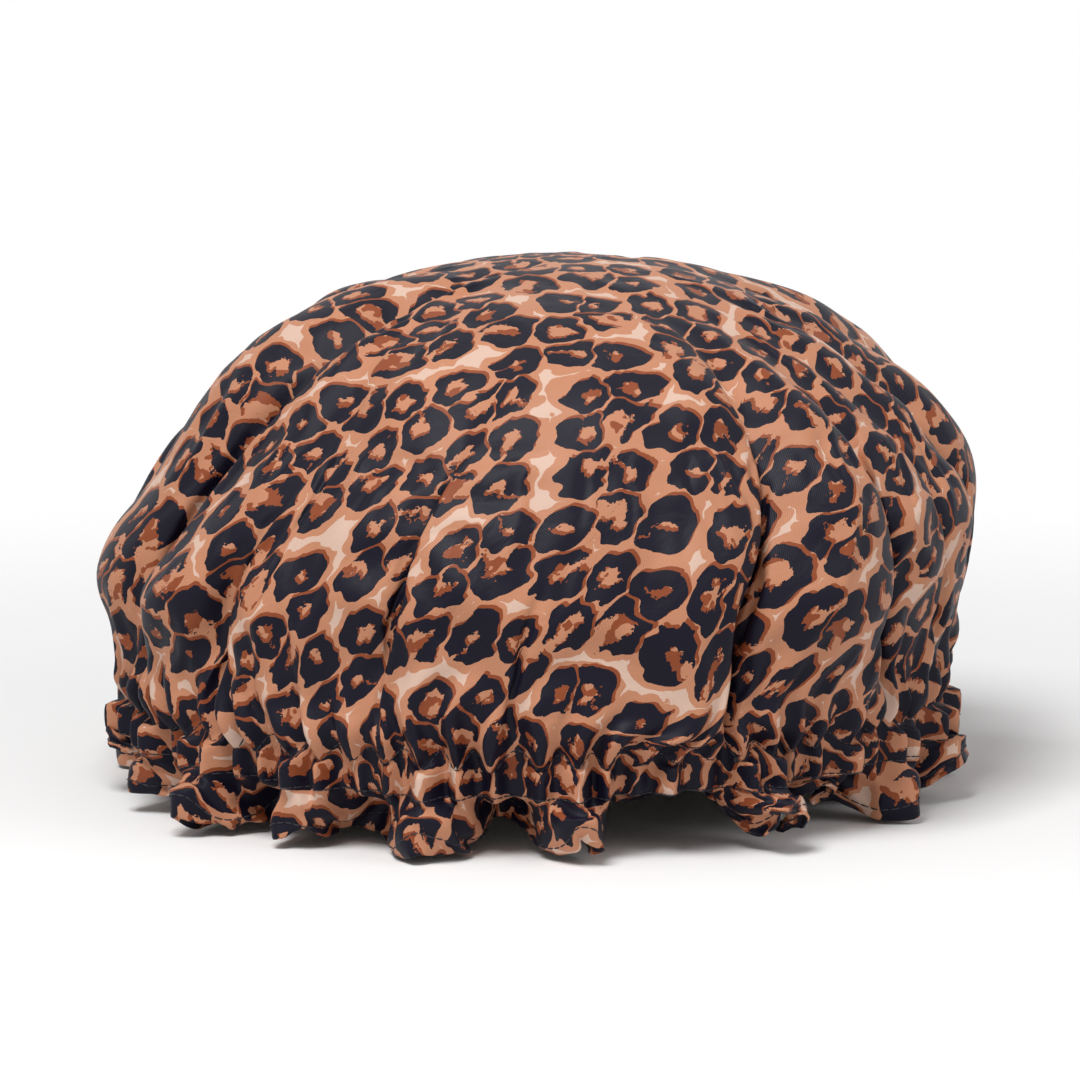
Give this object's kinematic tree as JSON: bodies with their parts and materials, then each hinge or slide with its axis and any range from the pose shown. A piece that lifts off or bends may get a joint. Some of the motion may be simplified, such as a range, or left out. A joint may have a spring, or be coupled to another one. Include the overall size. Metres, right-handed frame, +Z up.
{
  "type": "shower cap",
  "caption": "Fabric shower cap with a puffed crown gathered on an elastic channel, a ruffled frill below it and a waterproof film lining.",
  "frame": {"origin": "middle of the elastic ring's axis, on the surface that the frill stands on", "axes": "+Z up through the crown, +X to the picture's right, +Y away from its camera"},
  "size_m": [0.2815, 0.2736, 0.17],
  "materials": {
    "printed_cloth": "satin twill, printed with dark rosettes on a tan ground",
    "lining_film": "thin milky film",
    "elastic": "ribbed knitted elastic",
    "tape": "plain woven tape",
    "thread": "twisted polyester thread"
  },
  "bodies": {
    "root": {"shell": "printed_cloth", "lining": "lining_film", "elastic_band": "elastic", "elastic_join_tack": "thread", "channel_tape": "tape", "upper_row_needle_thread": "thread", "upper_row_bobbin_thread": "thread", "lower_row_needle_thread": "thread", "lower_row_bobbin_thread": "thread", "hem_needle_thread": "thread", "hem_bobbin_thread": "thread"}
  },
  "joints": []
}
